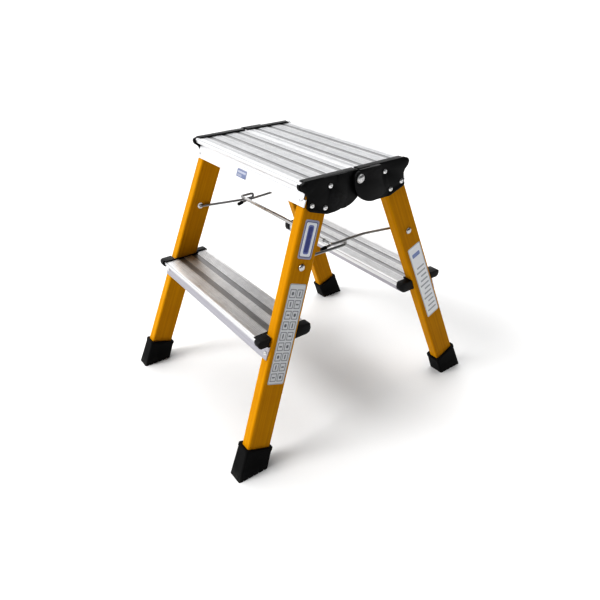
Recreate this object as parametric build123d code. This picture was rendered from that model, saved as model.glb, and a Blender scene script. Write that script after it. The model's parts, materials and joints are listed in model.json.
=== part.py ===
from build123d import *
import os
from math import sqrt, cos, sin, tan, atan, radians, degrees, pi

# Double-sided folding step ladder, 2 x 2 rises: two rigid frames (front, -Y, and
# rear, +Y) hinged together at the top, with a folding wire spreader between them.
# Millimetres. Origin on the floor under the middle. X = width, Y = depth, Z = up.

# ---------------------------------------------------------------- driving sizes
PLATFORM_TOP = 475.0      # standing height of the platform, two rises of 237.5
STEP_TOP = 237.5          # tread height
Z_REF = 438.6             # height at which the stile's front face is given
Y_REF = 104.8             # |y| of the stile's front face at Z_REF
RAKE = 0.376              # how far the stile leans out in depth, per mm of drop
SPLAY = 0.085             # how far it leans out in width, per mm of drop
X_REF = 183.0             # |x| of the stile's outer face at z = 342
STILE_W = 21.0            # stile section, width
STILE_D = 48.0            # stile section, depth (level cut)
STILE_WALL = 3.0
STILE_R = 4.0
PIVOT_Z = 463.0           # main hinge axis
BOLT_R = 4.0
BUSH_R = 6.0
SPREAD_Y = 117.7          # spreader pins, |y| and z
SPREAD_Z = 342.4
KNEE_Y = -30.0            # crossbar of the front bail
WIRE_R = 2.35
RIVET_R = 2.4

yf = lambda z: Y_REF + RAKE * (Z_REF - z)           # stile front face, |y|
yr = lambda z: yf(z) - STILE_D                      # stile rear face, |y|
xo = lambda z: X_REF + SPLAY * (342.0 - z)          # stile outer face, |x|
xi = lambda z: xo(z) - STILE_W                      # stile inner face, |x|
LEAN = atan(RAKE)

os.makedirs("parts", exist_ok=True)


# ---------------------------------------------------------------- small helpers
def box(x0, x1, y0, y1, z0, z1):
    return Pos((x0 + x1) / 2, (y0 + y1) / 2, (z0 + z1) / 2) * Box(x1 - x0, y1 - y0, z1 - z0)


def prism_x(pts, x0, x1):
    """Polygon of (y, z) points, extruded from x0 to x1."""
    face = make_face(Polyline(*[(x0, y, z) for y, z in pts], close=True).edges())
    return extrude(face, amount=x1 - x0, dir=(1, 0, 0))


def prism_y(pts, y0, y1):
    """Polygon of (x, z) points, extruded from y0 to y1."""
    face = make_face(Polyline(*[(x, y0, z) for x, z in pts], close=True).edges())
    return extrude(face, amount=y1 - y0, dir=(0, 1, 0))


def cyl_x(x0, x1, y, z, r):
    return Pos((x0 + x1) / 2, y, z) * Rot(0, 90, 0) * Cylinder(r, x1 - x0)


def slab(t0, t1, z0=395, z1=500, y0=-300, y1=300):
    """Layer parallel to the stile's outer face, from t0 to t1 outside it."""
    return prism_y([(xo(z0) + t0, z0), (xo(z0) + t1, z0), (xo(z1) + t1, z1), (xo(z1) + t0, z1)], y0, y1)


def stile_prism(z0, z1, grow=0.0, r=STILE_R):
    """Leaning, splayed stile column on the +X, front (-Y) corner."""
    h = z1 - z0
    cx, cy = (xo(z0) + xi(z0)) / 2, -(yf(z0) + yr(z0)) / 2
    sk = Plane(origin=(cx, cy, z0)) * RectangleRounded(STILE_W + 2 * grow, STILE_D + 2 * grow, r)
    length = h * sqrt(1 + RAKE ** 2 + SPLAY ** 2)
    return extrude(sk, amount=length, dir=(-SPLAY, RAKE, 1))


def left(s):
    return mirror(s, Plane.YZ)


def rear(s):
    return mirror(s, Plane.XZ)


def one(s):
    """The single solid of a boolean result, fused and cleaned."""
    s = s.clean() if hasattr(s, "clean") else s
    sol = s.solids()
    return max(sol, key=lambda q: q.volume) if len(sol) >= 1 else s


def solids(items):
    out = []
    for i in items:
        out += list(i.solids())
    return Compound(children=out)


NODES = {}


def put(name, s):
    s.label = name
    NODES[name] = s


def revolve_profile(pts, origin, z_dir, x_dir=None):
    """Closed (r, h) outline turned round an axis."""
    pl = Plane(origin=origin, z_dir=z_dir, x_dir=x_dir) if x_dir else Plane(origin=origin, z_dir=z_dir)
    face = make_face(Polyline(*[(r, 0, h) for r, h in pts], close=True).edges())
    s = revolve(face, Axis.Z, 360)
    return pl.location * s


def rivet(origin, z_dir, length, head_r=4.2, head_h=2.0, r=RIVET_R):
    """Blind rivet: domed head with the mandrel's hollow, shank, and the swollen tail."""
    hr = 1.2
    pts = [(0, head_h - 1.3), (hr, head_h - 1.3), (hr, head_h), (head_r * .5, head_h * .96), (head_r * .78, head_h * .72),
           (head_r * .95, head_h * .38), (head_r, 0), (r, 0), (r, -length), (0, -length)]
    return revolve_profile(pts, origin, z_dir)


# unit normal of the outer face (+X) and of the front face (-Y corner)
n_out = Vector(1, 0, SPLAY).normalized()
n_front = Vector(0, -1, RAKE * -1 * -1).normalized()      # (0, -1, +RAKE): square to the raked face


# ---------------------------------------------------------------- stiles
FOOT_SOLE = 8.0
STILE_TOP = 468.0


def cut_square(z_at, y_at, up):
    """Half space bounded by the plane square to the raked stile; up=True keeps above."""
    b = Box(400, 400, 400)
    off = 200 if up else -200
    return Plane(origin=(195, y_at, z_at), x_dir=(1, 0, 0), z_dir=(0, RAKE, 1)).location * (Pos(0, 0, off) * b)


def make_stile():
    outer = stile_prism(FOOT_SOLE, STILE_TOP)
    inner = stile_prism(FOOT_SOLE - 1, STILE_TOP + 1, grow=-STILE_WALL, r=1.5)
    s = outer - inner
    s -= cyl_x(140, 230, -SPREAD_Y, SPREAD_Z, 4.55)                      # spreader bush
    for (y, z) in CAP_RIVETS:                                           # cap rivets, outer wall only
        s -= Pos(xo(z), -y, z) * Rot(0, 90, 0) * Cylinder(RIVET_R + .05, 12)
    for z in BRACKET_RIVETS_Z:                                          # bracket rivets, inner wall
        s -= Plane(origin=(xi(z), -(yf(z) + yr(z)) / 2, z), z_dir=n_out).location * Cylinder(RIVET_R + .05, 12)
    s -= front_hole(FLANGE_RIVET_X, FLANGE_RIVET_Z)
    s -= front_hole(APRON_RIVET_X, APRON_RIVET_Z)
    return one(s)


def front_hole(x, z, depth=14, r=RIVET_R + .05):
    return Plane(origin=(x, -yf(z), z), z_dir=n_front).location * Cylinder(r, depth)


# rivet places: cap (|y|, z), step flange, apron, bracket
CAP_RIVETS = [(56.8, 462.2), (94.0, 438.7), (69.1, 430.0)]
FLANGE_RIVET_X, FLANGE_RIVET_Z = 184.0, 211.0
APRON_RIVET_X, APRON_RIVET_Z = 166.0, 446.0
BRACKET_RIVETS_Z = [221.0, 207.0]

stile = make_stile()

# ---------------------------------------------------------------- feet
def make_foot():
    z0, z1 = 0.0, 84.0
    g = 3.2
    b = Plane(origin=(199.45, -246.5, 0)) * RectangleRounded(31.1, 56.8, 3.0)
    cx, cy = (xo(z1) + xi(z1)) / 2, -(yf(z1) + yr(z1)) / 2
    t = Plane(origin=(cx, cy, z1)) * RectangleRounded(STILE_W + 2 * g, STILE_D + 2 * g, 5.0)
    body = loft([b.faces()[0], t.faces()[0]], ruled=True)
    # square-cut top: about 58 mm high at the front corner, 38 mm at the back
    top_y = -yr(38.0)
    body = body & cut_square(38.0, top_y, up=False)
    # thicker rim round the mouth
    t2 = Plane(origin=(cx, cy, z1)) * RectangleRounded(STILE_W + 2 * g + 2.0, STILE_D + 2 * g + 2.0, 6.0)
    b2 = Plane(origin=(199.45, -246.5, 0)) * RectangleRounded(33.1, 58.8, 4.0)
    rim = loft([b2.faces()[0], t2.faces()[0]], ruled=True)
    rim = rim & cut_square(38.0, top_y, up=False) & cut_square(33.0, top_y, up=True)
    body = body + rim
    body -= stile_prism(FOOT_SOLE, 120, grow=0.05)
    for i in range(5):                                                   # tread grooves in the sole
        y = -246.5 + (i - 2) * 10.0
        body -= box(180, 220, y - 1.5, y + 1.5, -1, 2.0)
    return one(body)


foot = make_foot()

# ---------------------------------------------------------------- platform half
def tread_grooves(u0, u1, top, pitch=3.1, w=1.2, d=0.7):
    """Fine anti-slip ribs: grooves along X between |y| = u0 and u1."""
    n = int((u1 - u0) / pitch)
    first = u0 + ((u1 - u0) - (n - 1) * pitch) / 2
    return [(first + i * pitch, w, d, top) for i in range(n)]


def top_plate_pts(u0, u1, top, bottom, grooves, stripes):
    """Outline of the ribbed plate as (u, z), from u0 to u1; stripes are (u0, u1, depth)."""
    cuts = []
    for (c, w, d, t) in grooves:
        cuts.append((c - w / 2, c + w / 2, d))
    for (a, b, d) in stripes:
        cuts.append((a, b, d))
    cuts.sort()
    pts = [(u0, bottom), (u0, top)]
    for a, b, d in cuts:
        pts += [(a, top), (a, top - d), (b, top - d), (b, top)]
    pts += [(u1, top), (u1, bottom)]
    return pts


PLAT_NOSE_R = 5.0
PLAT_NOSE_U = 105.0
PLAT_STRIPES = [(17.0, 27.0), (48.0, 58.0), (79.0, 89.0)]      # smooth, sunk stripes
SHEET = 2.6                                                    # wall of the extrusions


def make_platform():
    T = PLATFORM_TOP
    L = 176.0
    bands = [(3.0, 17.0), (27.0, 48.0), (58.0, 79.0), (89.0, 101.0)]
    gr = []
    for a, b in bands:
        gr += tread_grooves(a + 0.8, b - 0.8, T)
    plate = prism_x([(-u, z) for u, z in top_plate_pts(0.15, PLAT_NOSE_U, T, T - SHEET, gr, [(a, b, 1.0) for a, b in PLAT_STRIPES])], -L, L)
    nose = cyl_x(-L, L, -PLAT_NOSE_U, T - PLAT_NOSE_R, PLAT_NOSE_R)
    nose -= cyl_x(-L - 1, L + 1, -PLAT_NOSE_U, T - PLAT_NOSE_R, PLAT_NOSE_R - SHEET + .2) - box(-L - 2, L + 2, -PLAT_NOSE_U - 20, -PLAT_NOSE_U - 1.0, 300, 600)
    # two fine reed lines under the nose, then the apron on the stile's front face
    ya = lambda z: yf(z) + 2.9
    apron = prism_x([(-yf(463.2) - 0.02, 463.2), (-yf(437.6) - 0.02, 437.6), (-ya(437.6) + .6, 437.6), (-ya(438.4), 438.4),
                     (-ya(461.0), 461.0), (-ya(461.0) - 1.2, 462.0), (-ya(461.0) - 1.2, 463.6), (-PLAT_NOSE_U - .6, 465.05),
                     (-PLAT_NOSE_U + 0.2, 467.6), (-97.0, 467.6), (-95.0, 465.2)], -L, L)
    reed = [prism_x([(-103.4, 463.2), (-103.4, 464.6), (-102.4, 464.6), (-102.4, 463.2)], -L - 1, L + 1),
            prism_x([(-ya(456) - 1, 456.6), (-ya(456) + .7, 456.0), (-ya(456) - 1, 455.4)], -L - 1, L + 1)]
    inner = prism_x([(-0.15, T), (-0.15, PIVOT_Z + 1.2), (-2.9, PIVOT_Z + 1.2), (-2.9, T)], -L, L)      # butting edge above the hinge line
    webs = [prism_x([(-u, T - SHEET + .2), (-u, T - 13), (-u - 2.0, T - 13), (-u - 2.0, T - SHEET + .2)], -L, L) for u in (31.0, 62.0, 92.0)]
    foot_of_web = [prism_x([(-u + 2.5, T - 13), (-u + 2.5, T - 14.6), (-u - 4.5, T - 14.6), (-u - 4.5, T - 13)], -L, L) for u in (31.0, 62.0)]
    s = plate + nose + apron + inner
    for w in webs[:2] + foot_of_web:
        s += w
    for r_ in reed[1:]:
        s -= r_
    # ends: the plate stops at the caps, the apron runs on to cover the stile's width
    for sx in (1, -1):
        s -= Pos(sx * (171.3 + 20), -60, 449 + 25) * Box(40, 240, 50)
        # room for the nuts, and for the stiles' tops, below the plate
        s -= Pos(sx * 168, 0, 455) * Box(24, 20, 34.8)
    top_room = stile_prism(400, 480, grow=0.15)
    top_room = top_room & box(100, 230, -200, 0, 390, T - SHEET - .05)
    s -= top_room
    s -= left(top_room)
    # flanges below the plate stop short of the stiles
    for sx in (1, -1):
        s -= Pos(sx * (150 + 15), -55, T - SHEET - 10) * Box(30, 78, 20)
    s -= front_hole(APRON_RIVET_X, APRON_RIVET_Z, depth=20)
    s -= left(front_hole(APRON_RIVET_X, APRON_RIVET_Z, depth=20))
    return one(s)


platform = make_platform()

# ---------------------------------------------------------------- step (tread)
STEP_STRIPES = [(133.0, 145.0), (163.0, 175.0)]
STEP_END = 183.0
STEP_NOSE_U, STEP_NOSE_R = 198.6, 5.0
FLANGE_END = 190.0
FLANGE_BOTTOM = 202.0


def make_step():
    T = STEP_TOP
    L = FLANGE_END
    bands = [(112.0, 133.0), (145.0, 163.0), (175.0, 195.0)]
    gr = []
    for a, b in bands:
        gr += tread_grooves(a + 0.8, b - 0.8, T)
    plate = prism_x([(-u, z) for u, z in top_plate_pts(110.0, STEP_NOSE_U, T, T - SHEET, gr, [(a, b, 1.0) for a, b in STEP_STRIPES])], -L, L)
    nose = cyl_x(-L, L, -STEP_NOSE_U, T - STEP_NOSE_R, STEP_NOSE_R)
    nose -= cyl_x(-L - 1, L + 1, -STEP_NOSE_U, T - STEP_NOSE_R, STEP_NOSE_R - SHEET + .2) - box(-L - 2, L + 2, -STEP_NOSE_U - 20, -STEP_NOSE_U - 1.0, 100, 400)
    ya = lambda z: yf(z) + 2.9
    flange = prism_x([(-yf(T - 1) - .02, T - 1), (-yf(FLANGE_BOTTOM) - .02, FLANGE_BOTTOM), (-ya(FLANGE_BOTTOM) + .6, FLANGE_BOTTOM),
                      (-ya(FLANGE_BOTTOM + .8), FLANGE_BOTTOM + .8), (-ya(T - 1), T - 1)], -L, L)
    under = prism_x([(-STEP_NOSE_U, T - 2 * STEP_NOSE_R), (-STEP_NOSE_U, T - 2 * STEP_NOSE_R + 2.4),
                     (-yf(T - 8) + .5, T - 2 * STEP_NOSE_R + 2.4), (-yf(T - 10) + .5, T - 2 * STEP_NOSE_R)], -L, L)
    rib = prism_x([(-ya(224) + .3, 224.8), (-ya(224) - 1.0, 224.0), (-ya(224) + .3, 223.2)], -L, L)
    back = prism_x([(-110.0, T), (-110.0, T - 13), (-118.0, T - 13), (-118.0, T - 15.2), (-107.8 - 0.0, T - 15.2), (-107.8, T - 2.0), (-109.0, T)], -L, L)
    back = back & box(-L - 5, L + 5, -119, -107, 200, T)
    webs = [prism_x([(-u, T - SHEET + .2), (-u, T - 15), (-u - 2.0, T - 15), (-u - 2.0, T - SHEET + .2)], -L, L) for u in (138.0, 168.0)]
    feet_of_web = [prism_x([(-u + 2.5, T - 15), (-u + 2.5, T - 16.8), (-u - 4.5, T - 16.8), (-u - 4.5, T - 15)], -L, L) for u in (138.0, 168.0)]
    s = plate + nose + flange + under + rib + back
    for w in webs + feet_of_web:
        s += w
    # the tread's ends: the plate and nose stop at the end caps, the flange runs on across the stile
    for sx in (1, -1):
        s -= Pos(sx * (STEP_END + 20), -150, T) * Box(40, 140, 27)
        s -= Pos(sx * (STEP_END + 20), -120, T) * Box(40, 50, 80)
    # notch that takes the stile, with the end cap's thin web beside it
    notch = stile_prism(190, 245, grow=0.25)
    notch = notch + prism_x([(-yf(245) + .35, 245), (-yf(215) + .35, 215), (-yr(215) + 3.2, 215), (-yr(245) + 3.2, 245)], 168.5, 200)
    for k in (notch, left(notch)):
        s -= k
    for sx in (1, -1):                                                   # webs stop short of the brackets
        s -= Pos(sx * 160, -156, T - SHEET - 10.05) * Box(24, 46, 20)
    s -= front_hole(FLANGE_RIVET_X, FLANGE_RIVET_Z, depth=20)
    s -= left(front_hole(FLANGE_RIVET_X, FLANGE_RIVET_Z, depth=20))
    return one(s)


step = make_step()

# ---------------------------------------------------------------- step end caps
def make_step_cap():
    T = STEP_TOP
    x0, x1 = 175.5, 188.2
    ya = lambda z: yf(z) + 2.9
    front = prism_x([(-ya(239.6) - .3, 239.6), (-203.0, 239.6), (-206.2, 237.4), (-206.8, 233.0), (-205.6, 228.4), (-202.2, 225.4),
                     (-ya(225.4) - .3, 225.4)], x0, x1)
    back = prism_x([(-yr(239.6) + .5, 239.6), (-109.4, 239.6), (-106.2, 238.0), (-105.6, 229.0), (-108.2, 222.6), (-114.0, 220.6),
                    (-yr(220.6) + .5, 220.6)], x0, x1 + 1.6)
    # the tread's own section, a little larger, is the socket they sit on
    core_f = box(x0 - 1, STEP_END + .1, -STEP_NOSE_U, -150, T - 10.1, T + .1) + cyl_x(x0 - 1, STEP_END + .1, -STEP_NOSE_U, T - STEP_NOSE_R, STEP_NOSE_R + .1)
    core_b = prism_x([(-160, T + .1), (-108.9, T + .1), (-107.7, T - 1.9), (-107.7, T - 15.3), (-118.1, T - 15.3), (-118.1, T - 12.9), (-160, T - 12.9)], x0 - 1, STEP_END + .1)
    fl = prism_x([(-yf(245), 245), (-yf(200), 200), (-ya(200) - .1, 200), (-ya(245) - .1, 245)], x0 - 1, FLANGE_END + 2)
    front = front - core_f - fl
    back = back - core_b
    # thin tie along the notch, between tread and stile, that joins the two ends
    tie = prism_x([(-yf(238.4) + .45, 238.4), (-yf(235.2) + .45, 235.2), (-130.4, 235.2), (-130.4, 238.4)], 168.75, 170.35)
    tie_f = prism_x([(-yf(T + .1) - 4, 239.6), (-yf(T + .1) + 5, 239.6), (-yf(T + .1) + 5, T + .1), (-yf(T + .1) - 4, T + .1)], 168.75, 170.35)
    arm_f = prism_x([(-ya(239.6) - .3, 239.6), (-203.0, 239.6), (-203.0, T + .1), (-ya(239.6) - .3, T + .1)], 168.75, x0 + .1)
    arm_b = prism_x([(-yr(T) + .45, 239.6), (-yr(223) + .45, 223), (-yr(223) + 2.6, 223), (-yr(T) + 2.6, 239.6)], 168.75, x1)
    arm_b = arm_b - stile_prism(190, 245, grow=0.35)
    s = front + back + arm_f + tie + tie_f + arm_b
    s -= stile_prism(190, 245, grow=0.2)
    return s


step_cap = make_step_cap()

# ---------------------------------------------------------------- brackets under the tread
def make_bracket():
    """Aluminium angle: one leg flat on the stile's inner face, the other under the tread plate."""
    z0, z1 = 199.0, STEP_TOP - SHEET - .1
    a = prism_y([(xi(z0) - .1, z0), (xi(z1) - .1, z1), (xi(z1) - 2.6, z1), (xi(z0) - 2.6, z0)], -174, -140)
    lean = prism_x([(-yf(z1) + 9, z1), (-yf(z0) + 9, z0), (-yr(z0) - 9, z0), (-yr(z1) - 9, z1)], 100, 220)
    a = a & lean
    b = box(149.5, xi(z1) - .2, -yf(z1) + 9, -yr(z1) - 9, z1 - 2.5, z1)
    s = a + b
    for z in BRACKET_RIVETS_Z:
        s -= Plane(origin=(xi(z), -(yf(z) + yr(z)) / 2, z), z_dir=n_out).location * Cylinder(RIVET_R + .05, 16)
    return s


bracket = make_bracket()

# ---------------------------------------------------------------- hinge caps
FL_X0, FL_X1 = 173.5, 177.2       # inner (front) hinge lobe
RL_X0, RL_X1 = 177.6, 182.6       # outer (rear) hinge lobe
LOBE_R, LOBE_Y, LOBE_Z = 42.0, 30.0, 461.5
CAP_OUT = [(111.0, 473.6), (112.4, 469.8), (109.6, 463.6), (102.2, 457.4), (99.6, 452.0), (99.2, 447.0), (101.4, 434.6), (98.8, 430.4), (70.7, 420.8), (64.9, 419.4)]


def cap_outline(top=475.0, inner_y=30.0):
    """Main plate, |y| from inner_y out to the nose, as (u, z)."""
    return [(inner_y, 419.5), (inner_y, top + 2.4), (103.5, top + 2.4), (106.5, top + .2)] + CAP_OUT


def lobe_face():
    """Cheek outline round the hinge, on the +u side of the pivot: big arc below, small arc above it."""
    big = Pos(LOBE_Y, LOBE_Z) * Circle(LOBE_R)
    cut_top = Pos(LOBE_Y, 477.0 + 30) * Rectangle(200, 60)
    s = big - cut_top
    keep = Pos(LOBE_Y + 6.0, 440) * Rectangle(2 * (LOBE_Y + 6.0), 200)       # u from 0 upwards
    side = Pos(-20.0, PIVOT_Z - 40.0) * Rectangle(40, 80)                     # left of the pivot, below it
    tip = Pos(0, PIVOT_Z) * Circle(12.2)
    return (s & keep) + (s & side) + tip


def lobe_solid(x0, x1):
    """Cheek extruded along X, rear half (+Y)."""
    f = lobe_face()
    pl = Plane(origin=(x0, 0, 0), x_dir=(0, 1, 0), z_dir=(1, 0, 0))
    return extrude(pl * f, amount=x1 - x0)


def make_cap(is_rear):
    """Built on the rear (+Y), right (+X) corner; the front one is mirrored afterwards."""
    T = PLATFORM_TOP
    main = prism_x(cap_outline(inner_y=24.0), 150, 215) & slab(0.05, 5.5)
    bevel = prism_y([(xo(T) + 2.6, T + 3), (xo(T) + 8, T - 2.6), (xo(T) + 8, T + 3)], -10, 130)
    main -= bevel
    # raised rim that follows the bottom edge, and stiffening swage
    band = prism_x([(101.4, 434.6), (98.8, 430.4), (70.7, 420.8), (64.9, 419.4), (64.4, 422.6), (70.0, 423.9), (96.9, 433.0), (98.4, 435.0)], 150, 215) & slab(5.0, 6.1)
    # top flange over the platform's edge
    flange = box(161.5, xo(T) + 3.4, 3.2, 103.5, T + .05, T + 2.4)
    flange -= prism_y([(160, T + 2.5), (161.5, T + 2.5), (163.3, T + 2.5), (161.4, T + .9), (160, T + .9)], -5, 130)
    tip_cut = prism_x([(103.6, T + 3), (103.6, T + 1.2), (99.0, T + 3)], 150, 176)
    flange -= tip_cut
    # hood round the bullnose
    hood = cyl_x(168.5, xo(T - 6) + 2, PLAT_NOSE_U, T - PLAT_NOSE_R, PLAT_NOSE_R + 3.6)
    hood -= cyl_x(150, 190, PLAT_NOSE_U, T - PLAT_NOSE_R, PLAT_NOSE_R + .15)
    hood = hood & prism_x([(PLAT_NOSE_U, 470), (120, 478), (120, 455), (102.2, 455), (102.2, 461)], 150, 190)
    hood -= prism_x([(yf(467) - .1, 467.7), (yf(437) - .1, 437), (yf(437) + 3.05, 437), (yf(461) + 3.05, 461.0), (yf(461) + 4.3, 461.9), (yf(461) + 4.3, 463.6), (PLAT_NOSE_U + .7, 464.95), (PLAT_NOSE_U, 470)], 140, 176.2)
    if is_rear:
        lobe = lobe_solid(RL_X0, RL_X1)
        pocket = prism_x([(44.0, 478), (45.0, 460), (49.0, 447), (56.5, 434), (60, 419.5), (60, 400), (-30, 400), (-30, 480)], 150, 200)
        lobe = lobe & pocket
        inner = lobe_solid(FL_X0, RL_X1) & box(150, 200, 24.0, 42.0, 400, 480)
        wall = prism_x([(24, 419.5), (24, T + 2.4), (60, T + 2.4), (60, 419.5)], 150, 215) & lobe_solid(176.0, RL_X1) & pocket
        s = main + lobe + inner + wall + band + flange + hood
    else:
        # the plate's lower corner is swept up to meet the cheek's arc
        main -= prism_x([(20, 405), (52, 405), (52, 419.42), (42, 420.6), (33, 425.0), (27, 431.0), (23.9, 437.5), (20, 437.5)], 150, 215)
        lobe = lobe_solid(FL_X0, FL_X1)
        inner = lobe_solid(FL_X0, FL_X1 + 1) & box(150, 200, 24.0, 42.0, 400, 480)
        s = main + lobe + inner + band + flange + hood
        # outer face stands back where the other cheek sweeps
        s -= box(FL_X1, 200, -20, 23.5, 400, 480)
    # hinge bore, through both cheeks
    s -= cyl_x(165, 190, 0, PIVOT_Z, BUSH_R + .05)
    # seat of the stile and clearance of the platform
    s -= rear(stile_prism(395, STILE_TOP, grow=0.05))
    for (y, z) in CAP_RIVETS:
        s -= Pos(xo(z), y, z) * Rot(0, 90, 0) * Cylinder(RIVET_R + .05, 24)
        s -= Pos(xo(z) + 6.0, y, z) * Rot(0, 90, 0) * Cylinder(5.0, 1.2)        # shallow seat for the head
    # plastic hinge cheeks keep off the platform plate
    s -= box(140, 171.35, -5, 104.9, T - SHEET, T + .02)
    return s


cap_rear = make_cap(True)
cap_front = rear(make_cap(False))

# ---------------------------------------------------------------- hinge hardware
def make_bolt():
    pts = [(0, 3.6), (2.4, 3.45), (4.6, 2.9), (6.2, 1.9), (7.0, .7), (7.0, 0), (BOLT_R, 0), (BOLT_R, -20.6), (0, -20.6)]
    b = revolve_profile(pts, (RL_X1 + .9, 0, PIVOT_Z), (1, 0, 0))
    b -= cyl_x(RL_X1 + .9 + 2.9, RL_X1 + 8, 0, PIVOT_Z, 1.6)
    return b


bolt = make_bolt()
washer = cyl_x(RL_X1 + .1, RL_X1 + .8, 0, PIVOT_Z, 7.6) - cyl_x(170, 200, 0, PIVOT_Z, BOLT_R + .1)
bush = cyl_x(FL_X0, RL_X1, 0, PIVOT_Z, BUSH_R) - cyl_x(160, 200, 0, PIVOT_Z, BOLT_R + .05)
nut = extrude(Plane(origin=(FL_X0 - 8.0, 0, PIVOT_Z), x_dir=(0, 1, 0), z_dir=(1, 0, 0)) * RegularPolygon(7.5, 6), amount=6.5)
nut -= cyl_x(160, 190, 0, PIVOT_Z, BOLT_R + .05)
nut_washer = cyl_x(FL_X0 - 1.4, FL_X0 - .1, 0, PIVOT_Z, 7.6) - cyl_x(160, 200, 0, PIVOT_Z, BOLT_R + .05)

# ---------------------------------------------------------------- spreader
ARM_X, KNEE_X, HOOK_X = 157.5, 150.5, 138.5
LOOP_R = 4.2             # the front bail's wire turns back on itself behind the crossbar
LOOP_Y = -4.5
LOOP_Z = 337.2
TAIL_Y = -43.0           # the rear arms pass under the crossbar and end here
STUB_END = xo(SPREAD_Z) + 2.2


def wire(edges, start, r=WIRE_R):
    path = Wire(edges)
    sec = Plane(origin=start, z_dir=(-1, 0, 0)) * Circle(r)
    return sweep(sec, path=path)


# front bail: one wire, stub - arm - turn - crossbar - turn - arm - stub, made as two mirrored halves
py, pz = -SPREAD_Y, SPREAD_Z


def make_half_bail():
    stub = Vector(STUB_END, py, pz)
    elbow = Vector(ARM_X, py, pz)
    low = Vector(KNEE_X, LOOP_Y, LOOP_Z)
    top = Vector(KNEE_X, LOOP_Y, LOOP_Z + 2 * LOOP_R)
    corner = Vector(KNEE_X, KNEE_Y, LOOP_Z + 2 * LOOP_R)
    mid = Vector(0, KNEE_Y, LOOP_Z + 2 * LOOP_R)
    near = Vector(KNEE_X, LOOP_Y - 24.0, LOOP_Z)
    first = FilletPolyline(stub, elbow, near, low, radius=[3.6, 60.0])
    arc = ThreePointArc(low, Vector(KNEE_X, LOOP_Y + LOOP_R, LOOP_Z + LOOP_R), top)
    back = FilletPolyline(top, corner, mid, radius=6.5)
    return wire(list(first.edges()) + list(arc.edges()) + list(back.edges()), stub)


KNEE_Z = LOOP_Z + 2 * LOOP_R
half_bail = make_half_bail()
bail = half_bail + mirror(half_bail, about=Plane.YZ)

# a plain tube turns freely on the crossbar
TUBE_R, TUBE_END = 3.5, 129.0
bail_tube = cyl_x(-TUBE_END, TUBE_END, KNEE_Y, KNEE_Z, TUBE_R) - cyl_x(-TUBE_END - 5, TUBE_END + 5, KNEE_Y, KNEE_Z, WIRE_R + .1)

# rear arm: stub - shank - tail that dips under the crossbar, one wire with a cap on its end
arm_stub = Vector(STUB_END, SPREAD_Y, SPREAD_Z)
arm_line = FilletPolyline(arm_stub, Vector(ARM_X, SPREAD_Y, SPREAD_Z), Vector(HOOK_X + 2.5, 48.0, 341.3), Vector(HOOK_X, -22.0, 338.8), Vector(HOOK_X, TAIL_Y, 334.6), radius=[3.6, 80.0, 12.0])
rear_arm = wire(list(arm_line.edges()), arm_stub)
tail_dir = (Vector(HOOK_X, -22.0, 338.8) - Vector(HOOK_X, TAIL_Y, 334.6)).normalized()
end_cap = revolve_profile([(0, -1.6), (2.2, -1.6), (3.1, -.9), (3.5, .4), (3.5, 9.4), (3.0, 9.9), (WIRE_R + .05, 9.9), (WIRE_R + .05, -.02), (0, -.02)], (HOOK_X, TAIL_Y, 334.6), tuple(tail_dir))

# pin bushes in the stiles, and the domed push-on heads outside
def spread_bush(y, bore):
    b = cyl_x(xi(SPREAD_Z) - 1.4, xo(SPREAD_Z) + .4, y, SPREAD_Z, 4.5) + cyl_x(xi(SPREAD_Z) - 1.4, xi(SPREAD_Z) - .6, y, SPREAD_Z, 6.2)
    return b - cyl_x(140, 200, y, SPREAD_Z, bore)


def spread_head(y, bore):
    x = xo(SPREAD_Z) + .75
    pts = [(0, 3.1), (2.2, 2.95), (4.2, 2.3), (5.6, 1.2), (6.0, 0), (bore, 0), (bore, 1.6), (0, 1.6)]
    return revolve_profile(pts, (x, y, SPREAD_Z), (1, 0, 0))


bush_f = spread_bush(-SPREAD_Y, WIRE_R + .06)
bush_r = spread_bush(SPREAD_Y, WIRE_R + .06)
head_f = spread_head(-SPREAD_Y, WIRE_R + .02)
head_r = spread_head(SPREAD_Y, WIRE_R + .02)

# ---------------------------------------------------------------- rivets
def cap_rivet_set():
    out = []
    for (y, z) in CAP_RIVETS:
        o = Vector(xo(z) + 5.45, -y, z)
        out.append(revolve_profile([(0, .7), (1.2, .7), (1.2, 2.0), (2.2, 1.9), (3.4, 1.4), (4.2, .6), (4.3, .02), (RIVET_R, .02), (RIVET_R, -11.5), (0, -11.5)], tuple(o), (1, 0, 0)))
    return out


def front_rivet(x, z, proud=2.9):
    o = Vector(x, -yf(z), z) + n_front * 0 + Vector(0, -proud / cos(LEAN) * cos(LEAN) ** 2, proud * sin(LEAN) * cos(LEAN))
    return o


def face_rivet(x, z):
    """Rivet through a 2.9 mm (level) flange lying on the stile's raked front face."""
    t = 2.9 * cos(LEAN) + .03
    o = Vector(x, -yf(z), z) + n_front * t
    return rivet(tuple(o), tuple(n_front), 8.5, head_r=3.6, head_h=1.7)


cap_rivets = cap_rivet_set()
apron_rivet = face_rivet(APRON_RIVET_X, APRON_RIVET_Z)
flange_rivet = face_rivet(FLANGE_RIVET_X, FLANGE_RIVET_Z)
bracket_rivets = [rivet(tuple(Vector(xi(z), -(yf(z) + yr(z)) / 2, z) - n_out * 2.64), tuple(n_out * -1), 7.5, head_r=3.8, head_h=1.6) for z in BRACKET_RIVETS_Z]

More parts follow.
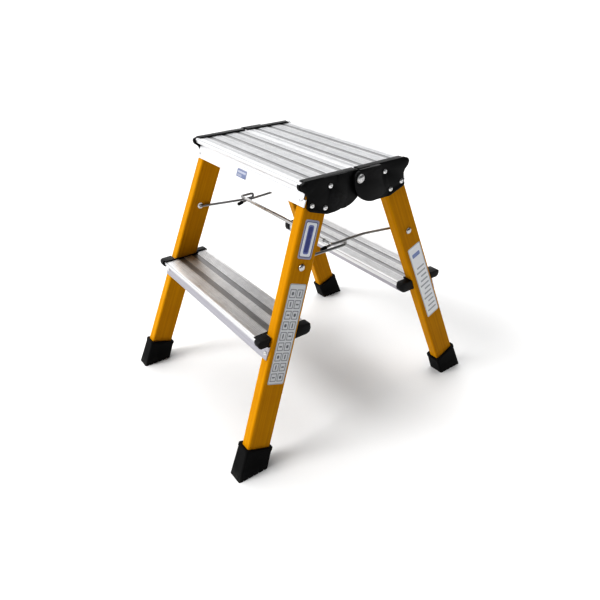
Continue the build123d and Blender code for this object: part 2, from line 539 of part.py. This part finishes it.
# ---------------------------------------------------------------- labels (blank film)
def side_label(d0, d1, z0, z1, r=3.0):
    """Film on the right stile's outer face; d = distance behind the front face."""
    s = sin(LEAN)
    c = cos(LEAN)
    w, h = (d1 - d0) * c, (z1 - z0) / c
    zc = (z0 + z1) / 2
    yc = -(yf(zc) - (d0 + d1) / 2)
    pl = Plane(origin=(150, yc, zc), x_dir=(0, 1 * c, -1 * s * -1 * -1), z_dir=(1, 0, 0))
    body = extrude(pl * RectangleRounded(w, h, r), amount=70)
    return body & slab(.03, .3, z0=100, z1=470)


label_big = side_label(9.5, 39.0, 355.0, 414.0, 4.0)
label_long = side_label(8.0, 43.0, 155.0, 317.0, 3.0)
label_rear = rear(side_label(5.0, 39.0, 152.0, 310.0, 3.0))
zc = 443.6
lp = Plane(origin=tuple(Vector(-7.5, -yf(zc), zc) + n_front * (2.9 * cos(LEAN) + .03)), x_dir=(1, 0, 0), z_dir=n_front)
label_small = extrude(lp * RectangleRounded(31.0, 14.6, 2.0), amount=.3)

# ---------------------------------------------------------------- nodes
put("front_stile_right", stile)
put("front_stile_left", left(stile))
put("rear_stile_right", rear(stile))
put("rear_stile_left", left(rear(stile)))
put("front_foot_right", foot)
put("front_foot_left", left(foot))
put("rear_foot_right", rear(foot))
put("rear_foot_left", left(rear(foot)))
put("front_platform", platform)
put("rear_platform", rear(platform))
put("front_step", step)
put("rear_step", rear(step))
put("front_step_cap_right", one(step_cap))
put("front_step_cap_left", left(one(step_cap)))
put("rear_step_cap_right", rear(one(step_cap)))
put("rear_step_cap_left", left(rear(one(step_cap))))
put("front_step_bracket_right", one(bracket))
put("front_step_bracket_left", left(one(bracket)))
put("rear_step_bracket_right", rear(one(bracket)))
put("rear_step_bracket_left", left(rear(one(bracket))))
put("front_hinge_cap_right", one(cap_front))
put("front_hinge_cap_left", left(one(cap_front)))
put("rear_hinge_cap_right", one(cap_rear))
put("rear_hinge_cap_left", left(one(cap_rear)))
put("hinge_bolts", solids([bolt, left(bolt)]))
put("hinge_bushes", solids([bush, left(bush)]))
put("hinge_nuts", solids([nut, left(nut)]))
put("hinge_washers", solids([washer, left(washer), nut_washer, left(nut_washer)]))
put("front_bail", one(bail))
put("rear_arm_right", one(rear_arm))
put("rear_arm_left", left(one(rear_arm)))
put("bail_tube", one(bail_tube))
put("arm_end_caps", solids([end_cap, left(end_cap)]))
put("front_pin_heads", solids([head_f, left(head_f)]))
put("rear_pin_heads", solids([head_r, left(head_r)]))
put("front_pin_bushes", solids([bush_f, left(bush_f)]))
put("rear_pin_bushes", solids([bush_r, left(bush_r)]))
for side, fn in (("front", lambda s: s), ("rear", rear)):
    put(side + "_cap_rivets", solids([fn(r_) for r_ in cap_rivets] + [left(fn(r_)) for r_ in cap_rivets]))
    put(side + "_apron_rivets", solids([fn(apron_rivet), left(fn(apron_rivet))]))
    put(side + "_step_rivets", solids([fn(flange_rivet), left(fn(flange_rivet))] + [fn(r_) for r_ in bracket_rivets] + [left(fn(r_)) for r_ in bracket_rivets]))
put("label_upper", one(label_big))
put("label_lower", one(label_long))
put("label_rear", one(label_rear))
put("label_apron", one(label_small))

for name, s in NODES.items():
    export_step(s, f"parts/{name}.step")
print(len(NODES), "nodes")
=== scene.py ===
import json
import math
import bpy
import bmesh
from mathutils import Matrix, Vector


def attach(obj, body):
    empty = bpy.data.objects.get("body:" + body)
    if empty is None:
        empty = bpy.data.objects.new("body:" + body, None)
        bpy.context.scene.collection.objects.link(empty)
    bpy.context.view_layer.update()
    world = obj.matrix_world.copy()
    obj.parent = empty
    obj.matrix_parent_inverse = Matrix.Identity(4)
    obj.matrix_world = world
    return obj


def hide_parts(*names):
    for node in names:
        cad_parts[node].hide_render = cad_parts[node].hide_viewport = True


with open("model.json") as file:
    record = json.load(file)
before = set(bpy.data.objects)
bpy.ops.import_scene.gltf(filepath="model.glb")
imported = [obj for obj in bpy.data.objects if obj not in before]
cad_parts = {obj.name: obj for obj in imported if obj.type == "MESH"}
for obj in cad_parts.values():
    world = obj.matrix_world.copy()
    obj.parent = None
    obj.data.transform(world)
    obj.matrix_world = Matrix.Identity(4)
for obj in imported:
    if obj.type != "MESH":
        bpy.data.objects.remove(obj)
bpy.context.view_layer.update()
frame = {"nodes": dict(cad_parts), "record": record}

N = frame["nodes"]
scene = bpy.context.scene

# ------------------------------------------------------------------ sizes shared with the CAD (metres)
RAKE, SPLAY = 0.376, 0.085
Y_REF, Z_REF, X_REF = 0.1048, 0.4386, 0.183
STILE_W, STILE_D = 0.021, 0.048


def yf(z):
    return Y_REF + RAKE * (Z_REF - z)


def xo(z):
    return X_REF + SPLAY * (0.342 - z)


# ------------------------------------------------------------------ node helpers
class Tree:
    """Small helper that builds a shader tree in reading order."""

    def __init__(self, name):
        self.mat = bpy.data.materials.new(name)
        self.mat.use_nodes = True
        self.nt = self.mat.node_tree
        self.nt.nodes.clear()
        self.out = self.nt.nodes.new("ShaderNodeOutputMaterial")
        self.bsdf = self.nt.nodes.new("ShaderNodeBsdfPrincipled")
        self.nt.links.new(self.bsdf.outputs[0], self.out.inputs["Surface"])
        self.tc = self.nt.nodes.new("ShaderNodeTexCoord")
        self.obj = self.tc.outputs["Object"]

    def link(self, a, b):
        self.nt.links.new(a, b)

    def _set(self, sock, v):
        if isinstance(v, bpy.types.NodeSocket):
            self.link(v, sock)
        else:
            sock.default_value = v

    def math(self, op, a, b=None, c=None, clamp=False):
        n = self.nt.nodes.new("ShaderNodeMath")
        n.operation = op
        n.use_clamp = clamp
        self._set(n.inputs[0], a)
        if b is not None:
            self._set(n.inputs[1], b)
        if c is not None:
            self._set(n.inputs[2], c)
        return n.outputs[0]

    def dot(self, v, axis):
        n = self.nt.nodes.new("ShaderNodeVectorMath")
        n.operation = "DOT_PRODUCT"
        self._set(n.inputs[0], v)
        n.inputs[1].default_value = axis
        return n.outputs["Value"]

    def combine(self, x, y, z):
        n = self.nt.nodes.new("ShaderNodeCombineXYZ")
        for i, v in enumerate((x, y, z)):
            self._set(n.inputs[i], v)
        return n.outputs[0]

    def split(self, v):
        n = self.nt.nodes.new("ShaderNodeSeparateXYZ")
        self.link(v, n.inputs[0])
        return n.outputs[0], n.outputs[1], n.outputs[2]

    def scale(self, v, s):
        n = self.nt.nodes.new("ShaderNodeVectorMath")
        n.operation = "MULTIPLY"
        self._set(n.inputs[0], v)
        n.inputs[1].default_value = s if hasattr(s, "__len__") else (s, s, s)
        return n.outputs[0]

    def noise(self, v, scale=1.0, detail=3.0, rough=0.5, distortion=0.0):
        n = self.nt.nodes.new("ShaderNodeTexNoise")
        self.link(v, n.inputs["Vector"])
        n.inputs["Scale"].default_value = scale
        n.inputs["Detail"].default_value = detail
        n.inputs["Roughness"].default_value = rough
        n.inputs["Distortion"].default_value = distortion
        return n.outputs["Fac"]

    def voronoi(self, v, scale=1.0, feature="F1"):
        n = self.nt.nodes.new("ShaderNodeTexVoronoi")
        n.feature = feature
        self.link(v, n.inputs["Vector"])
        n.inputs["Scale"].default_value = scale
        return n.outputs["Distance"]

    def ramp(self, fac, stops, interp="LINEAR"):
        n = self.nt.nodes.new("ShaderNodeValToRGB")
        n.color_ramp.interpolation = interp
        els = n.color_ramp.elements
        while len(els) < len(stops):
            els.new(0.5)
        for e, (p, c) in zip(els, stops):
            e.position = p
            e.color = c if len(c) == 4 else (*c, 1)
        self.link(fac, n.inputs[0])
        return n.outputs[0]

    def remap(self, v, a, b, c, d, clamp=True):
        n = self.nt.nodes.new("ShaderNodeMapRange")
        n.clamp = clamp
        self._set(n.inputs[0], v)
        for i, x in enumerate((a, b, c, d)):
            n.inputs[i + 1].default_value = x
        return n.outputs[0]

    def smooth(self, v, a, b):
        n = self.nt.nodes.new("ShaderNodeMapRange")
        n.interpolation_type = "SMOOTHSTEP"
        self._set(n.inputs[0], v)
        n.inputs[1].default_value = a
        n.inputs[2].default_value = b
        return n.outputs[0]

    def mix(self, fac, a, b, blend="MIX"):
        n = self.nt.nodes.new("ShaderNodeMix")
        n.data_type = "RGBA"
        n.blend_type = blend
        self._set(n.inputs["Factor"], fac)
        self._set(n.inputs[6], a if isinstance(a, bpy.types.NodeSocket) else (*a, 1) if len(a) == 3 else a)
        self._set(n.inputs[7], b if isinstance(b, bpy.types.NodeSocket) else (*b, 1) if len(b) == 3 else b)
        return n.outputs[2]

    def bump(self, height, distance, strength=1.0, normal=None):
        n = self.nt.nodes.new("ShaderNodeBump")
        n.inputs["Strength"].default_value = strength
        n.inputs["Distance"].default_value = distance
        self.link(height, n.inputs["Height"])
        if normal is not None:
            self.link(normal, n.inputs["Normal"])
        return n.outputs[0]

    def pointiness(self):
        n = self.nt.nodes.new("ShaderNodeNewGeometry")
        return n.outputs["Pointiness"]

    def set(self, **kw):
        names = {"color": "Base Color", "rough": "Roughness", "metal": "Metallic", "spec": "Specular IOR Level", "coat": "Coat Weight",
                 "coat_rough": "Coat Roughness", "aniso": "Anisotropic", "normal": "Normal", "ior": "IOR", "sheen": "Sheen Weight"}
        for k, v in kw.items():
            s = self.bsdf.inputs[names[k]]
            if isinstance(v, (tuple, list)) and len(v) == 3:
                v = (*v, 1)
            self._set(s, v)
        return self.mat


def assign(mat, *names):
    for n in names:
        o = N[n]
        if not o.data.materials:
            o.data.materials.append(mat)
        for i in range(len(o.data.materials)):
            o.data.materials[i] = mat


# ------------------------------------------------------------------ materials
def grp(name, sx, sy):
    """Pultruded glass fibre: yellow resin, fibres running along the stile, satin skin with small scuffs."""
    t = Tree(name)
    ax = Vector((-SPLAY * sx, -RAKE * sy, 1)).normalized()
    e1 = Vector((1, 0, 0)).cross(ax).normalized()
    e2 = ax.cross(e1).normalized()
    a, b, c = t.dot(t.obj, ax), t.dot(t.obj, e1), t.dot(t.obj, e2)
    fib = t.combine(t.math("MULTIPLY", a, 9.0), t.math("MULTIPLY", b, 1300.0), t.math("MULTIPLY", c, 1300.0))
    fine = t.noise(fib, 1.0, 3.0, 0.6, 0.2)
    fib2 = t.combine(t.math("MULTIPLY", a, 3.0), t.math("MULTIPLY", b, 260.0), t.math("MULTIPLY", c, 260.0))
    broad = t.noise(fib2, 1.0, 2.0, 0.5)
    cloud = t.noise(t.obj, 18.0, 3.0, 0.55)
    veil = t.noise(t.obj, 950.0, 2.0, 0.7)
    col = t.mix(t.remap(broad, .35, .65, 0, 1), (0.500, 0.232, 0.0008), (0.570, 0.280, 0.0014))
    col = t.mix(t.remap(fine, .45, .8, 0, .22), col, (0.66, 0.34, 0.010))
    col = t.mix(t.remap(cloud, .4, .7, 0, .16), col, (0.43, 0.155, 0.0008))
    # small pale scuffs and handling marks
    sc = t.noise(t.combine(t.math("MULTIPLY", a, 60.0), t.math("MULTIPLY", b, 420.0), t.math("MULTIPLY", c, 420.0)), 1.0, 4.0, .6, 1.2)
    scuff = t.remap(sc, .70, .80, 0, .22)
    col = t.mix(scuff, col, (0.74, 0.48, 0.12))
    rough = t.math("ADD", t.remap(veil, .3, .7, .36, .48), t.remap(broad, .3, .7, -.03, .05), clamp=True)
    h = t.math("ADD", t.math("MULTIPLY", fine, .6), t.math("MULTIPLY", veil, .25))
    h = t.math("ADD", h, t.math("MULTIPLY", broad, 1.2))
    nrm = t.bump(h, 0.00012, .55)
    return t.set(color=col, rough=rough, normal=nrm, spec=.06)


def aluminium(name, kind):
    """Mill-finish extrusion. kind: platform, step (sunk smooth stripes) or plain."""
    t = Tree(name)
    x, y, z = t.split(t.obj)
    ay = t.math("ABSOLUTE", y)
    draw = t.noise(t.combine(t.math("MULTIPLY", x, 6.0), t.math("MULTIPLY", y, 2300.0), t.math("MULTIPLY", z, 2300.0)), 1.0, 3.0, .6)
    die = t.noise(t.combine(t.math("MULTIPLY", x, 1.2), t.math("MULTIPLY", y, 420.0), t.math("MULTIPLY", z, 420.0)), 1.0, 2.0, .5)
    cloud = t.noise(t.obj, 22.0, 4.0, .6)
    smudge = t.noise(t.obj, 60.0, 3.0, .55, .6)
    col = t.mix(t.remap(die, .3, .7, 0, 1), (0.71, 0.715, 0.73), (0.83, 0.83, 0.835))
    rough = t.math("ADD", t.remap(draw, .3, .7, .30, .44), t.remap(cloud, .35, .65, -.03, .06))
    if kind in ("platform", "step"):
        bands = [(0.0170, 0.0270), (0.0480, 0.0580), (0.0790, 0.0890)] if kind == "platform" else [(0.1330, 0.1450), (0.1630, 0.1750)]
        top = 0.4746 if kind == "platform" else 0.2371
        stripe = None
        for a, b in bands:
            m = t.math("MULTIPLY", t.smooth(ay, a - .0002, a + .0002), t.math("SUBTRACT", 1.0, t.smooth(ay, b - .0002, b + .0002)))
            stripe = m if stripe is None else t.math("MAXIMUM", stripe, m)
        upper = t.smooth(z, top - .0016, top - .0012)
        stripe = t.math("MULTIPLY", stripe, upper)
        col = t.mix(stripe, col, t.mix(t.remap(die, .3, .7, 0, 1), (0.34, 0.34, 0.35), (0.40, 0.40, 0.405)))
        rough = t.math("ADD", rough, t.math("MULTIPLY", stripe, -.03))
        # the top is painted darker than the faces as painted shade, and the step's lower face is darker and a little
        # bluer
        top_shade_tone = (0.80, 0.80, 0.80) if kind == "platform" else (0.76, 0.755, 0.75)
        col = t.mix(t.math("MULTIPLY", upper, 1.0), col, t.mix(1.0, col, top_shade_tone, "MULTIPLY"))
        if kind == "step":
            low_face = t.math("SUBTRACT", 1.0, t.smooth(z, .2285, .2300))
            col = t.mix(low_face, col, t.mix(1.0, col, (0.60, 0.59, 0.63), "MULTIPLY"))
        # painted shade held low between the ribs, bright worn crests
        low = t.math("SUBTRACT", 1.0, t.smooth(z, top - .0007, top - .0001))
        groove_shade = t.math("MULTIPLY", t.math("MULTIPLY", low, upper), t.math("SUBTRACT", 1.0, stripe))
        col = t.mix(t.math("MULTIPLY", groove_shade, .55), col, (0.33, 0.33, 0.335))
        wear = t.math("MULTIPLY", t.math("SUBTRACT", 1.0, low), t.remap(smudge, .42, .62, 0, 1))
        col = t.mix(t.math("MULTIPLY", wear, .14), col, (0.90, 0.90, 0.905))
        rough = t.math("ADD", rough, t.math("MULTIPLY", wear, -.05))
    col = t.mix(t.remap(smudge, .62, .78, 0, .10), col, (0.50, 0.50, 0.51))
    # short cross scratches from use
    v1 = t.noise(t.combine(t.math("MULTIPLY", t.math("ADD", x, t.math("MULTIPLY", y, .35)), 900.0), t.math("MULTIPLY", y, 26.0), t.math("MULTIPLY", z, 26.0)), 1.0, 2.0, .4, .3)
    scr = t.remap(v1, .76, .80, 0, .5)
    rough = t.math("ADD", rough, t.math("MULTIPLY", scr, .10), clamp=True)
    h = t.math("ADD", t.math("MULTIPLY", draw, .5), t.math("MULTIPLY", die, .9))
    h = t.math("SUBTRACT", h, t.math("MULTIPLY", scr, .6))
    nrm = t.bump(h, 0.00006, .5)
    return t.set(color=col, rough=rough, metal=1.0 if kind != "bracket" else 1.0, normal=nrm, aniso=.35)


def plastic(name, base=(0.0042, 0.0042, 0.0046), rough0=.44):
    """Injection-moulded nylon: fine spark-eroded grain, slight flow clouding, rubbed edges."""
    t = Tree(name)
    grain = t.voronoi(t.obj, 1900.0)
    grain2 = t.noise(t.obj, 1400.0, 2.0, .6)
    cloud = t.noise(t.obj, 28.0, 3.0, .6, .4)
    edge = t.remap(t.pointiness(), .52, .62, 0, 1)
    rub = t.math("MULTIPLY", edge, t.remap(t.noise(t.obj, 160.0, 3.0, .6), .4, .65, .1, 1))
    col = t.mix(t.remap(cloud, .35, .7, 0, 1), base, tuple(c * 1.55 for c in base))
    col = t.mix(t.math("MULTIPLY", rub, .45), col, (0.028, 0.028, 0.030))
    dust = t.noise(t.obj, 420.0, 4.0, .7)
    col = t.mix(t.remap(dust, .68, .8, 0, .25), col, (0.05, 0.05, 0.05))
    rough = t.math("ADD", t.remap(cloud, .3, .7, rough0 - .05, rough0 + .07), t.math("MULTIPLY", rub, -.10), clamp=True)
    h = t.math("ADD", t.math("MULTIPLY", grain, .6), t.math("MULTIPLY", grain2, .6))
    return t.set(color=col, rough=rough, normal=t.bump(h, 0.00009, .5), spec=.2)


def rubber(name):
    """Moulded rubber foot: matt, dusty low down, grainy."""
    t = Tree(name)
    x, y, z = t.split(t.obj)
    grain = t.noise(t.obj, 1100.0, 3.0, .65)
    cloud = t.noise(t.obj, 45.0, 4.0, .6, .5)
    col = t.mix(t.remap(cloud, .35, .7, 0, 1), (0.0045, 0.0045, 0.0048), (0.0085, 0.0085, 0.0088))
    dust = t.math("MULTIPLY", t.math("SUBTRACT", 1.0, t.smooth(z, .001, .018)), t.remap(t.noise(t.obj, 190.0, 4.0, .65), .38, .66, 0, 1))
    col = t.mix(t.math("MULTIPLY", dust, .45), col, (0.07, 0.068, 0.062))
    edge = t.remap(t.pointiness(), .53, .63, 0, .5)
    col = t.mix(t.math("MULTIPLY", edge, t.remap(cloud, .4, .6, 0, 1)), col, (0.03, 0.03, 0.03))
    rough = t.remap(grain, .3, .7, .62, .82)
    return t.set(color=col, rough=rough, normal=t.bump(t.math("ADD", grain, t.math("MULTIPLY", cloud, 1.5)), 0.00012, .6), spec=.16)


def steel(name, base, rough0, streak_axis="X", tint=(0.30, 0.30, 0.31)):
    """Zinc-plated steel: mottled passivation, drawing lines."""
    t = Tree(name)
    mott = t.noise(t.obj, 240.0, 4.0, .6, .4)
    cloud = t.noise(t.obj, 55.0, 3.0, .6)
    lines = t.noise(t.scale(t.obj, (30.0, 1600.0, 1600.0)) if streak_axis == "X" else t.scale(t.obj, (900.0, 900.0, 900.0)), 1.0, 3.0, .6)
    col = t.mix(t.remap(mott, .35, .65, 0, 1), base, tint)
    col = t.mix(t.remap(cloud, .5, .75, 0, .25), col, (0.50, 0.47, 0.40))
    rough = t.math("ADD", t.remap(mott, .3, .7, rough0 - .06, rough0 + .08), t.remap(lines, .3, .7, -.03, .05), clamp=True)
    h = t.math("ADD", t.math("MULTIPLY", lines, .7), t.math("MULTIPLY", mott, .5))
    return t.set(color=col, rough=rough, metal=1.0, normal=t.bump(h, 0.00005, .5))


MAT = {}
for fr, sy in (("front", -1), ("rear", 1)):
    for sd, sx in (("right", 1), ("left", -1)):
        m = grp(f"grp_{fr}_{sd}", sx, sy)
        assign(m, f"{fr}_stile_{sd}")
MAT["plat"] = aluminium("aluminium_platform", "platform")
MAT["step"] = aluminium("aluminium_step", "step")
MAT["plain"] = aluminium("aluminium_bracket", "plain")
MAT["cap"] = plastic("nylon_hinge_cap")
MAT["scap"] = plastic("nylon_step_cap", (0.0046, 0.0046, 0.005), .48)
MAT["bush"] = plastic("nylon_bush", (0.006, 0.006, 0.0065), .4)
MAT["rubber"] = rubber("rubber_foot")
MAT["wire"] = steel("zinc_wire", (0.30, 0.30, 0.305), .34)
MAT["zinc"] = steel("zinc_hardware", (0.62, 0.62, 0.62), .28, "ALL", (0.48, 0.48, 0.49))
MAT["rivet"] = steel("rivet_alloy", (0.80, 0.80, 0.80), .30, "ALL", (0.66, 0.66, 0.67))
assign(MAT["plat"], "front_platform", "rear_platform")
assign(MAT["step"], "front_step", "rear_step")
assign(MAT["cap"], *[f"{a}_hinge_cap_{b}" for a in ("front", "rear") for b in ("left", "right")])
assign(MAT["scap"], *[f"{a}_step_cap_{b}" for a in ("front", "rear") for b in ("left", "right")])
assign(MAT["plain"], *[f"{a}_step_bracket_{b}" for a in ("front", "rear") for b in ("left", "right")])
assign(MAT["rubber"], *[f"{a}_foot_{b}" for a in ("front", "rear") for b in ("left", "right")])
assign(MAT["wire"], "front_bail", "rear_arm_left", "rear_arm_right")
assign(MAT["zinc"], "bail_tube")
assign(MAT["bush"], "arm_end_caps")
assign(MAT["zinc"], "front_pin_bushes", "rear_pin_bushes")
assign(MAT["zinc"], "hinge_bolts", "hinge_nuts", "hinge_washers", "hinge_bushes", "front_pin_heads", "rear_pin_heads")
assign(MAT["rivet"], *[f"{a}_{k}_rivets" for a in ("front", "rear") for k in ("cap", "apron", "step")])


def film(name, sy, d0, d1, z0, z1, draw):
    """Printed film on a stile's side: draw(t, u, v) returns the colour, u across and v along, both 0 to 1 inside."""
    t = Tree(name)
    x, y, z = t.split(t.obj)
    c = 1 / math.sqrt(1 + RAKE ** 2)
    zc = (z0 + z1) / 2
    yc = sy * (yf(zc) - (d0 + d1) / 2)
    along = Vector((0, -RAKE * sy, 1)).normalized()
    across = Vector((0, -sy, -RAKE)).normalized()
    off = t.combine(0.0, t.math("SUBTRACT", y, yc), t.math("SUBTRACT", z, zc))
    w, h = (d1 - d0) * c, (z1 - z0) / c
    u = t.math("ADD", t.math("DIVIDE", t.dot(off, across), w), .5)
    v = t.math("ADD", t.math("DIVIDE", t.dot(off, along), h), .5)
    col = draw(t, u, v, w, h)
    cr = t.noise(t.obj, 700.0, 3.0, .6)
    cloud = t.noise(t.obj, 90.0, 3.0, .6)
    col = t.mix(t.remap(cloud, .55, .75, 0, .15), col, (0.55, 0.53, 0.48))
    return t.set(color=col, rough=t.remap(cloud, .3, .7, .28, .42), normal=t.bump(cr, 0.00002, .35), spec=.5, coat=.2, coat_rough=.12)


def rect(t, u, v, u0, u1, v0, v1, w, h, r=.0006, soft=.00012):
    """1 inside a rounded rectangle given in label fractions."""
    cu, cv = (u0 + u1) / 2, (v0 + v1) / 2
    hx, hy = (u1 - u0) / 2 * w - r, (v1 - v0) / 2 * h - r
    du = t.math("SUBTRACT", t.math("MULTIPLY", t.math("ABSOLUTE", t.math("SUBTRACT", u, cu)), w), hx)
    dv = t.math("SUBTRACT", t.math("MULTIPLY", t.math("ABSOLUTE", t.math("SUBTRACT", v, cv)), h), hy)
    a, b = t.math("MAXIMUM", du, 0.0), t.math("MAXIMUM", dv, 0.0)
    d = t.math("SQRT", t.math("ADD", t.math("MULTIPLY", a, a), t.math("MULTIPLY", b, b)))
    return t.math("SUBTRACT", 1.0, t.smooth(d, r - soft, r + soft))


def upper_art(t, u, v, w, h):
    base = (0.34, 0.35, 0.47)
    inner = rect(t, u, v, .085, .915, .045, .955, w, h, .0032)
    edge = rect(t, u, v, .13, .87, .068, .932, w, h, .0026)
    col = t.mix(inner, base, (0.10, 0.11, 0.22))
    col = t.mix(edge, col, (0.80, 0.82, 0.86))
    col = t.mix(rect(t, u, v, .30, .70, .13, .87, w, h, .0035), col, (0.16, 0.20, 0.46))
    col = t.mix(rect(t, u, v, .36, .64, .17, .83, w, h, .0028), col, (0.028, 0.045, 0.24))
    return col


def lower_art(t, u, v, w, h):
    col = (0.60, 0.61, 0.63)
    inner = rect(t, u, v, .05, .95, .012, .988, w, h, .002)
    col = t.mix(inner, (0.44, 0.45, 0.47), (0.66, 0.67, 0.69))
    n, k = 9, 0
    for i in range(n):
        v0 = .03 + i * .104
        for j in range(2):
            u0 = .10 + j * .42
            cell = rect(t, u, v, u0, u0 + .37, v0, v0 + .086, w, h, .0012)
            hole = rect(t, u, v, u0 + .045, u0 + .325, v0 + .009, v0 + .077, w, h, .0009)
            col = t.mix(cell, col, (0.27, 0.28, 0.30))
            col = t.mix(hole, col, (0.64, 0.65, 0.67))
            k += 1
            if k % 3 == 0:
                g = rect(t, u, v, u0 + .15, u0 + .22, v0 + .02, v0 + .066, w, h, .0008)
            elif k % 3 == 1:
                g = rect(t, u, v, u0 + .10, u0 + .27, v0 + .036, v0 + .05, w, h, .0007)
            else:
                g = rect(t, u, v, u0 + .115, u0 + .255, v0 + .026, v0 + .060, w, h, .0022)
            col = t.mix(g, col, (0.16, 0.17, 0.19))
    return col


def rear_art(t, u, v, w, h):
    inner = rect(t, u, v, .06, .94, .015, .985, w, h, .002)
    col = t.mix(inner, (0.55, 0.57, 0.62), (0.83, 0.84, 0.86))
    col = t.mix(rect(t, u, v, .20, .80, .855, .905, w, h, .002), col, (0.22, 0.28, 0.52))
    for i in range(11):
        v0 = .07 + i * .062
        col = t.mix(rect(t, u, v, .14, .84 - .12 * (i % 3), v0, v0 + .022, w, h, .0004), col, (0.42, 0.43, 0.46))
    return col


assign(film("film_upper", -1, .0095, .039, .355, .414, upper_art), "label_upper")
assign(film("film_lower", -1, .008, .043, .155, .317, lower_art), "label_lower")
assign(film("film_rear", 1, .005, .039, .152, .310, rear_art), "label_rear")


def apron_film():
    t = Tree("film_apron")
    x, y, z = t.split(t.obj)
    u = t.math("ADD", t.math("DIVIDE", t.math("ADD", x, .0075), .031), .5)
    v = t.math("ADD", t.math("DIVIDE", t.math("SUBTRACT", z, .4436), .0137), .5)
    col = t.mix(rect(t, u, v, .03, .97, .05, .95, .031, .0146, .0018), (0.24, 0.26, 0.36), (0.15, 0.18, 0.30))
    col = t.mix(rect(t, u, v, .08, .92, .60, .84, .031, .0146, .0006), col, (0.40, 0.42, 0.50))
    col = t.mix(rect(t, u, v, .08, .55, .18, .46, .031, .0146, .0006), col, (0.30, 0.32, 0.40))
    return t.set(color=col, rough=.35, normal=t.bump(t.noise(t.obj, 700.0), 0.00002, .3), coat=.2)


assign(apron_film(), "label_apron")

# ------------------------------------------------------------------ moulded parts with rounded edges
def refine(node, width):
    """The node's own shape with every sharp edge rounded over, as a moulding has them."""
    src = N[node]
    me = src.data.copy()
    me.name = node + "_moulding"
    bm = bmesh.new()
    bm.from_mesh(me)
    bmesh.ops.remove_doubles(bm, verts=bm.verts, dist=3e-6)
    bmesh.ops.dissolve_limit(bm, angle_limit=math.radians(1.5), verts=bm.verts, edges=bm.edges)
    edges = [e for e in bm.edges if len(e.link_faces) == 2 and e.calc_face_angle(0) > math.radians(30)]
    bmesh.ops.bevel(bm, geom=edges, offset=width, offset_type="OFFSET", segments=2, profile=.5, affect="EDGES", clamp_overlap=True)
    bmesh.ops.triangulate(bm, faces=[f for f in bm.faces if len(f.verts) > 4])
    for f in bm.faces:
        f.smooth = True
    for e in bm.edges:
        e.smooth = not (len(e.link_faces) == 2 and e.calc_face_angle(0) > math.radians(28))
    bm.normal_update()
    bm.to_mesh(me)
    bm.free()
    o = bpy.data.objects.new(node + "_moulding", me)
    scene.collection.objects.link(o)
    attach(o, body_of[node])
    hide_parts(node)
    return o


body_of = {}
for b, names in frame["record"]["behaviour"]["bodies"].items():
    for n in names:
        body_of[n] = b
for a in ("front", "rear"):
    for b in ("left", "right"):
        refine(f"{a}_hinge_cap_{b}", .0006)
        refine(f"{a}_step_cap_{b}", .0007)
        refine(f"{a}_foot_{b}", .0010)

# ------------------------------------------------------------------ floor and light
def floor_material():
    t = Tree("floor_pale")
    n = t.noise(t.obj, 3.0, 3.0, .5)
    return t.set(color=t.mix(t.remap(n, .3, .7, 0, 1), (0.72, 0.72, 0.72), (0.74, 0.74, 0.74)), rough=.85, spec=.1)


bm = bmesh.new()
bmesh.ops.create_circle(bm, cap_ends=True, cap_tris=False, segments=96, radius=60.0)
me = bpy.data.meshes.new("floor")
bm.to_mesh(me)
bm.free()
floor = bpy.data.objects.new("floor", me)
scene.collection.objects.link(floor)
floor.data.materials.append(floor_material())

world = bpy.data.worlds.new("studio")
scene.world = world
world.use_nodes = True
wn = world.node_tree
wn.nodes.clear()
wo = wn.nodes.new("ShaderNodeOutputWorld")
bg = wn.nodes.new("ShaderNodeBackground")
tc = wn.nodes.new("ShaderNodeTexCoord")
dp = wn.nodes.new("ShaderNodeVectorMath")
dp.operation = "DOT_PRODUCT"
dp.inputs[1].default_value = Vector((0.93, 0.30, 0.0)).normalized()
wn.links.new(tc.outputs["Generated"], dp.inputs[0])
mr = wn.nodes.new("ShaderNodeMapRange")
mr.interpolation_type = "SMOOTHSTEP"
wn.links.new(dp.outputs["Value"], mr.inputs[0])
mr.inputs[1].default_value = -0.45
mr.inputs[2].default_value = 0.55
mr.inputs[3].default_value = 1.0
mr.inputs[4].default_value = 0.05
wn.links.new(mr.outputs[0], bg.inputs["Strength"])
bg.inputs["Color"].default_value = (1, 1, 1, 1)
wn.links.new(bg.outputs[0], wo.inputs["Surface"])


def sun(name, direction, strength, angle, color=(1, 1, 1)):
    l = bpy.data.lights.new(name, "SUN")
    l.energy, l.angle, l.color = strength, math.radians(angle), color
    o = bpy.data.objects.new(name, l)
    scene.collection.objects.link(o)
    o.rotation_euler = Vector(direction).to_track_quat("Z", "Y").to_euler()
    return o


sun("key", (-0.30, -1.0, 1.05), 1.45, 26)
sun("top", (-0.35, 0.35, 1.6), 1.05, 60)

# ------------------------------------------------------------------ camera
AZ, EL, ROLL, DIST = math.radians(54.92), math.radians(27.73), math.radians(-1.18), 1.13476
back = Vector((math.sin(AZ) * math.cos(EL), -math.cos(AZ) * math.cos(EL), math.sin(EL)))
C = Vector((0, 0, 0.22)) + back * DIST
right = (-back).cross(Vector((0, 0, 1))).normalized()
up = right.cross(-back)
r2 = right * math.cos(ROLL) + up * math.sin(ROLL)
u2 = -right * math.sin(ROLL) + up * math.cos(ROLL)
cam = bpy.data.cameras.new("camera")
cam.sensor_width = 36.0
cam.sensor_fit = "HORIZONTAL"
cam.lens = 564.99 * 36 / 600
cam.shift_x = (300 - 295.85) / 600
cam.shift_y = (272.43 - 300) / 600
cam.clip_end = 200
co = bpy.data.objects.new("camera", cam)
scene.collection.objects.link(co)
m = Matrix.Identity(4)
for i, col in enumerate((r2, u2, back, C)):
    for j in range(3):
        m[j][i] = col[j]
co.matrix_world = m
scene.camera = co
scene.view_settings.view_transform = "Standard"
scene.view_settings.look = "High Contrast"
